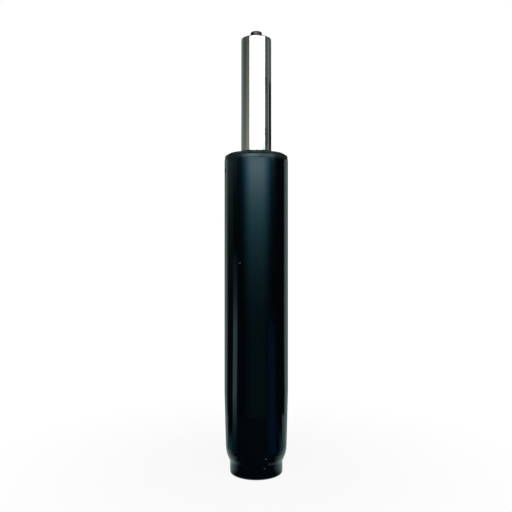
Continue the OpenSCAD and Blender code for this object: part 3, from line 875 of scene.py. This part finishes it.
# Cards. Glowing cards round the object that only mirrors see, giving the chrome and the lacquer painted
# reflections: a pool of light in front, dark sides, pale ones behind, bands and a roof above, and a
# round sheet over the flange that is there only from above. They neither shade nor light the object.
card_steps = 24
card_distance = 0.9
card_foot = 0.0215
card_ring = 0.046
card_middle = 0.07
card_far = 0.17
card_lift = 0.0006
blue_lift = 2 * card_lift
blue_distance = card_distance - card_lift
blue_top = 0.035
strip_top = 0.15
sheet_z = 0.2475
shelf = 0.373
glint_foot = 0.405
black_top = 0.53
card_high = 0.6245
glint_top = 0.66
card_upper = 0.95
card_top = 1.4
roof_hole = 0.01
roof_top = 1.85
foot_floor = ((card_foot, card_lift), (card_ring, card_lift))
ring_floor = ((card_ring, card_lift), (card_middle, card_lift))
mid_floor = ((card_middle, card_lift), (card_far, card_lift))
far_floor = ((card_far, card_lift), (card_distance, card_lift))
blue_line = ((card_middle, blue_lift), (blue_distance, blue_lift), (blue_distance, blue_top))
roof = ((card_distance, card_top), (roof_hole, roof_top))
sheet_line = ((card_foot, sheet_z), (card_distance, shelf))


def wall(low, high):
    """The line of an upright card between two heights."""
    return ((card_distance, low), (card_distance, high))


strip_line = mid_floor + far_floor[1:] + wall(card_lift, strip_top)[1:]
black = (0.010, 0.024, 0.038)
deep_black = (0.004, 0.005, 0.006)
blue = (0.004, 0.075, 0.185)
pool_white = (3.2, 3.4, 3.6)
pool_deep = (1.5, 3.4, 4.1)
pool_skirt = (0.9, 3.4, 4.8)
glint_white = (6.0, 6.0, 6.0)
sheet_white = (0.95, 0.96, 0.95)
sheet_grey = (0.19, 0.23, 0.22)
strip_white = (0.55, 0.76, 0.82)
strip_teal = (0.0, 0.09, 0.14)
pale = (0.37, 0.47, 0.46)
mid_pale = (0.37, 0.46, 0.45)
mid_dim = (0.28, 0.38, 0.37)
mid_teal = (0.08, 0.20, 0.21)
near_pale = (0.54, 0.66, 0.65)
near_dark = (0.10, 0.14, 0.14)
limb_dark = (0.05, 0.06, 0.06)
grey = (0.17, 0.20, 0.18)
light_grey = (0.22, 0.28, 0.27)
dark_grey = (0.085, 0.100, 0.088)
warm_grey = (0.27, 0.285, 0.245)
warm_dark = (0.155, 0.165, 0.140)
pool_fall = 0.093
behind_fall = 0.12
strip_fall = 0.06
warm_fall = -0.3
pool_turn = 3.0
pool_width = (14.0, 56.0)
pool_dim = 0.5
pool_dim_heights = (350.0, 363.0)
pool_tint_heights = (200.0, 345.0)
skirt_width = (44.0, 88.0)
skirt_share = 0.085
blue_light = (55.0, 3.0, 19.0)
sheet_lights = ((9.0, 46.0, 74.0), (182.5, 20.0, 46.0))
strip_reach = (70.0, 300.0)
strip_fade = 50.0
mid_fading = ("left_middle", "right_middle")
mid_fade = (135.0, 75.0)
soft_lights = {
    "right_foot": (135.0, 42.0, 84.0),
    "right_ring": (135.0, 15.0, 70.0),
    "left_foot": (225.0, 42.0, 82.0),
    "left_ring": (225.0, 15.0, 66.0),
}

# Each card has a name, the angles where it starts and ends, its line from the inside out, a
# colour, and, where it dims away from the shelf's height, the fall over which it does.
cards = (
    ("front_foot", -53, 51, foot_floor, black, None),
    ("front_ring", -76, 71, ring_floor, black, None),
    ("front_middle", -71, 86, mid_floor, black, None),
    ("front_pool", -71, 84, far_floor + wall(0, shelf), pool_white, pool_fall),
    ("front_blue", 35, 75, blue_line, black, None),
    ("front_glint", -33, 8, wall(glint_foot, glint_top), glint_white, None),
    ("right_foot", 51, 150, foot_floor, near_pale, None),
    ("right_ring", 71, 150, ring_floor, near_pale, None),
    ("right_middle", 86, 103, mid_floor, mid_teal, None),
    ("right_middle_behind", 103, 120, mid_floor, mid_dim, None),
    ("back_right_middle", 120, 150, mid_floor, mid_pale, None),
    ("right_low", 84, 119.5, far_floor + wall(0, shelf), deep_black, None),
    ("right_high", 69, 98, wall(shelf, card_high), dark_grey, None),
    ("right_high_behind", 98, 115, wall(shelf, card_high), grey, None),
    ("back_right_low", 119.5, 152, far_floor + wall(0, shelf), pale, None),
    ("back_right_black", 115, 172, wall(shelf, black_top), deep_black, None),
    ("back_right_high", 115, 172, wall(black_top, card_high), dark_grey, None),
    ("back_foot", 150, 210, foot_floor + mid_floor, limb_dark, None),
    ("back_low", 152, 208, far_floor + wall(0, shelf), limb_dark, None),
    ("back_high", 172, 188, wall(shelf, card_high), dark_grey, None),
    ("back_left_low", 208, 234, far_floor + wall(0, shelf), pale, None),
    ("back_left_middle", 210, 240, mid_floor, mid_pale, None),
    ("back_left_high", 188, 242, wall(shelf, card_high), grey, None),
    ("left_foot", 210, 307, foot_floor, near_pale, None),
    ("left_ring", 210, 284, ring_floor, near_pale, None),
    ("left_middle", 240, 270, mid_floor, mid_teal, None),
    ("left_low_behind", 234, 270, far_floor + wall(0, shelf), light_grey, behind_fall),
    ("left_strip", 270, 289, strip_line, strip_white, None),
    ("left_strip_top", 270, 289, wall(strip_top, shelf), light_grey, strip_fall),
    ("left_high_behind", 242, 280, wall(shelf, card_high), warm_dark, warm_fall),
    ("left_high", 280, 309, wall(shelf, card_high), warm_grey, warm_fall),
    ("dark_above", 69, 309, wall(card_high, card_upper), deep_black, None),
    ("front_above", -51, 69, wall(glint_top, card_upper), deep_black, None),
    ("front_upper", -51, 69, wall(card_upper, card_top), sheet_white, None),
    ("back_upper", 69, 309, wall(card_upper, card_top), light_grey, None),
    ("front_roof", -90, 90, roof, limb_dark, None),
    ("back_roof", 90, 270, roof, near_dark, None),
    ("round_sheet", 0, 360, sheet_line, sheet_grey, None),
)


def towards(place, middle, full, out):
    """1 within the full angle of a direction seen from above, and 0 beyond the out angle."""
    middle, full, out = (math.radians(angle) for angle in (middle, full, out))
    flat = place.node("VectorMath", {"operation": "NORMALIZE"}, {0: place.stretched((1, 1, 0))})
    sockets = {0: flat, 1: (math.sin(middle), -math.cos(middle), 0)}
    facing = place.node("VectorMath", {"operation": "DOT_PRODUCT"}, sockets, "Value")
    return facing.step(math.cos(out), math.cos(full))


for name, start, end, line, colour, fall in cards:
    turn = math.radians(start)
    across, ahead = math.sin(turn), -math.cos(turn)
    bpy.ops.object.select_all(action="DESELECT")
    bpy.ops.mesh.primitive_plane_add(size=mm, enter_editmode=True)
    card = bpy.context.object
    card.name = "card_" + name
    bpy.ops.mesh.merge(type="CENTER")
    bpy.ops.transform.translate(value=(line[0][0] * across, line[0][0] * ahead, line[0][1]))
    for here, there in zip(line, line[1:]):
        run = there[0] - here[0]
        step = (run * across, run * ahead, there[1] - here[1])
        bpy.ops.mesh.extrude_region_move(TRANSFORM_OT_translate={"value": step})
    bpy.ops.mesh.select_all(action="SELECT")
    bpy.ops.mesh.spin(
        steps=card_steps, angle=-math.radians(end - start), center=(0, 0, 0), axis=(0, 0, 1)
    )
    bpy.ops.object.mode_set(mode="OBJECT")
    board, tone = blank_board("board_" + name)
    place = tone.node("TexCoord", {}, {}, "Object")
    away = place.length() * (1 / mm)
    above_floor = place.axis("Z")
    shown = (*colour, 1)
    strength = 1.0
    if fall:
        strength = tone.maths("POWER", math.e, (above_floor - shelf / mm) * (mm / fall))
    if name in mid_fading:
        strength = away.step(*mid_fade)
    if name in soft_lights:
        strength = towards(place, *soft_lights[name])
    if name == "front_blue":
        shown = towards(place, *blue_light).blend(shown, (*blue, 1))
    if name == "left_strip":
        lit = tone.maths("POWER", math.e, above_floor * (-1 / strip_fade)) * away.step(*strip_reach)
        shown = lit.blend((*strip_teal, 1), shown)
    if name == "front_pool":
        angle = tone.maths("ARCTAN2", place.axis("X"), 0 - place.axis("Y")) - math.radians(pool_turn)
        angle = angle.maths("ABSOLUTE", angle, 0) * math.degrees(1)
        lit = angle.step(pool_width[1], pool_width[0])
        strength = strength * (lit + skirt_share * angle.step(skirt_width[1], skirt_width[0]))
        strength = strength * (1 - pool_dim * above_floor.step(*pool_dim_heights))
        shown = above_floor.step(*pool_tint_heights).blend((*pool_deep, 1), shown)
        shown = angle.step(*pool_width).blend(shown, (*pool_skirt, 1))
    if name == "round_sheet":
        lit = sum(towards(place, *light) for light in sheet_lights)
        shown = lit.blend(shown, (*sheet_white, 1))
    shine = tone.node("Emission", {}, {"Color": shown, "Strength": strength})
    if name == "round_sheet":
        shine = one_sided(tone, shine)
    tone.node("OutputMaterial", {}, {"Surface": shine})
    card.data.materials.append(board)
    card.visible_camera = False
    card.visible_diffuse = False
    card.visible_transmission = False
    card.visible_volume_scatter = False
    card.visible_shadow = False


# Camera. Level, half a metre in front of the axis and about half-way up the object, with the
# frame shifted down a little.
camera_place = (0.0, -0.5018, 0.1812)
camera_sensor = 36.0
camera_lens = 44.66
camera_shift = (-0.0005, -0.0287)

bpy.ops.object.camera_add(location=camera_place, rotation=(math.pi / 2, 0, 0))
camera = bpy.context.object
camera.data.sensor_width = camera_sensor
camera.data.lens = camera_lens
camera.data.shift_x, camera.data.shift_y = camera_shift
bpy.context.scene.camera = camera
bpy.context.scene.view_settings.view_transform = "Standard"
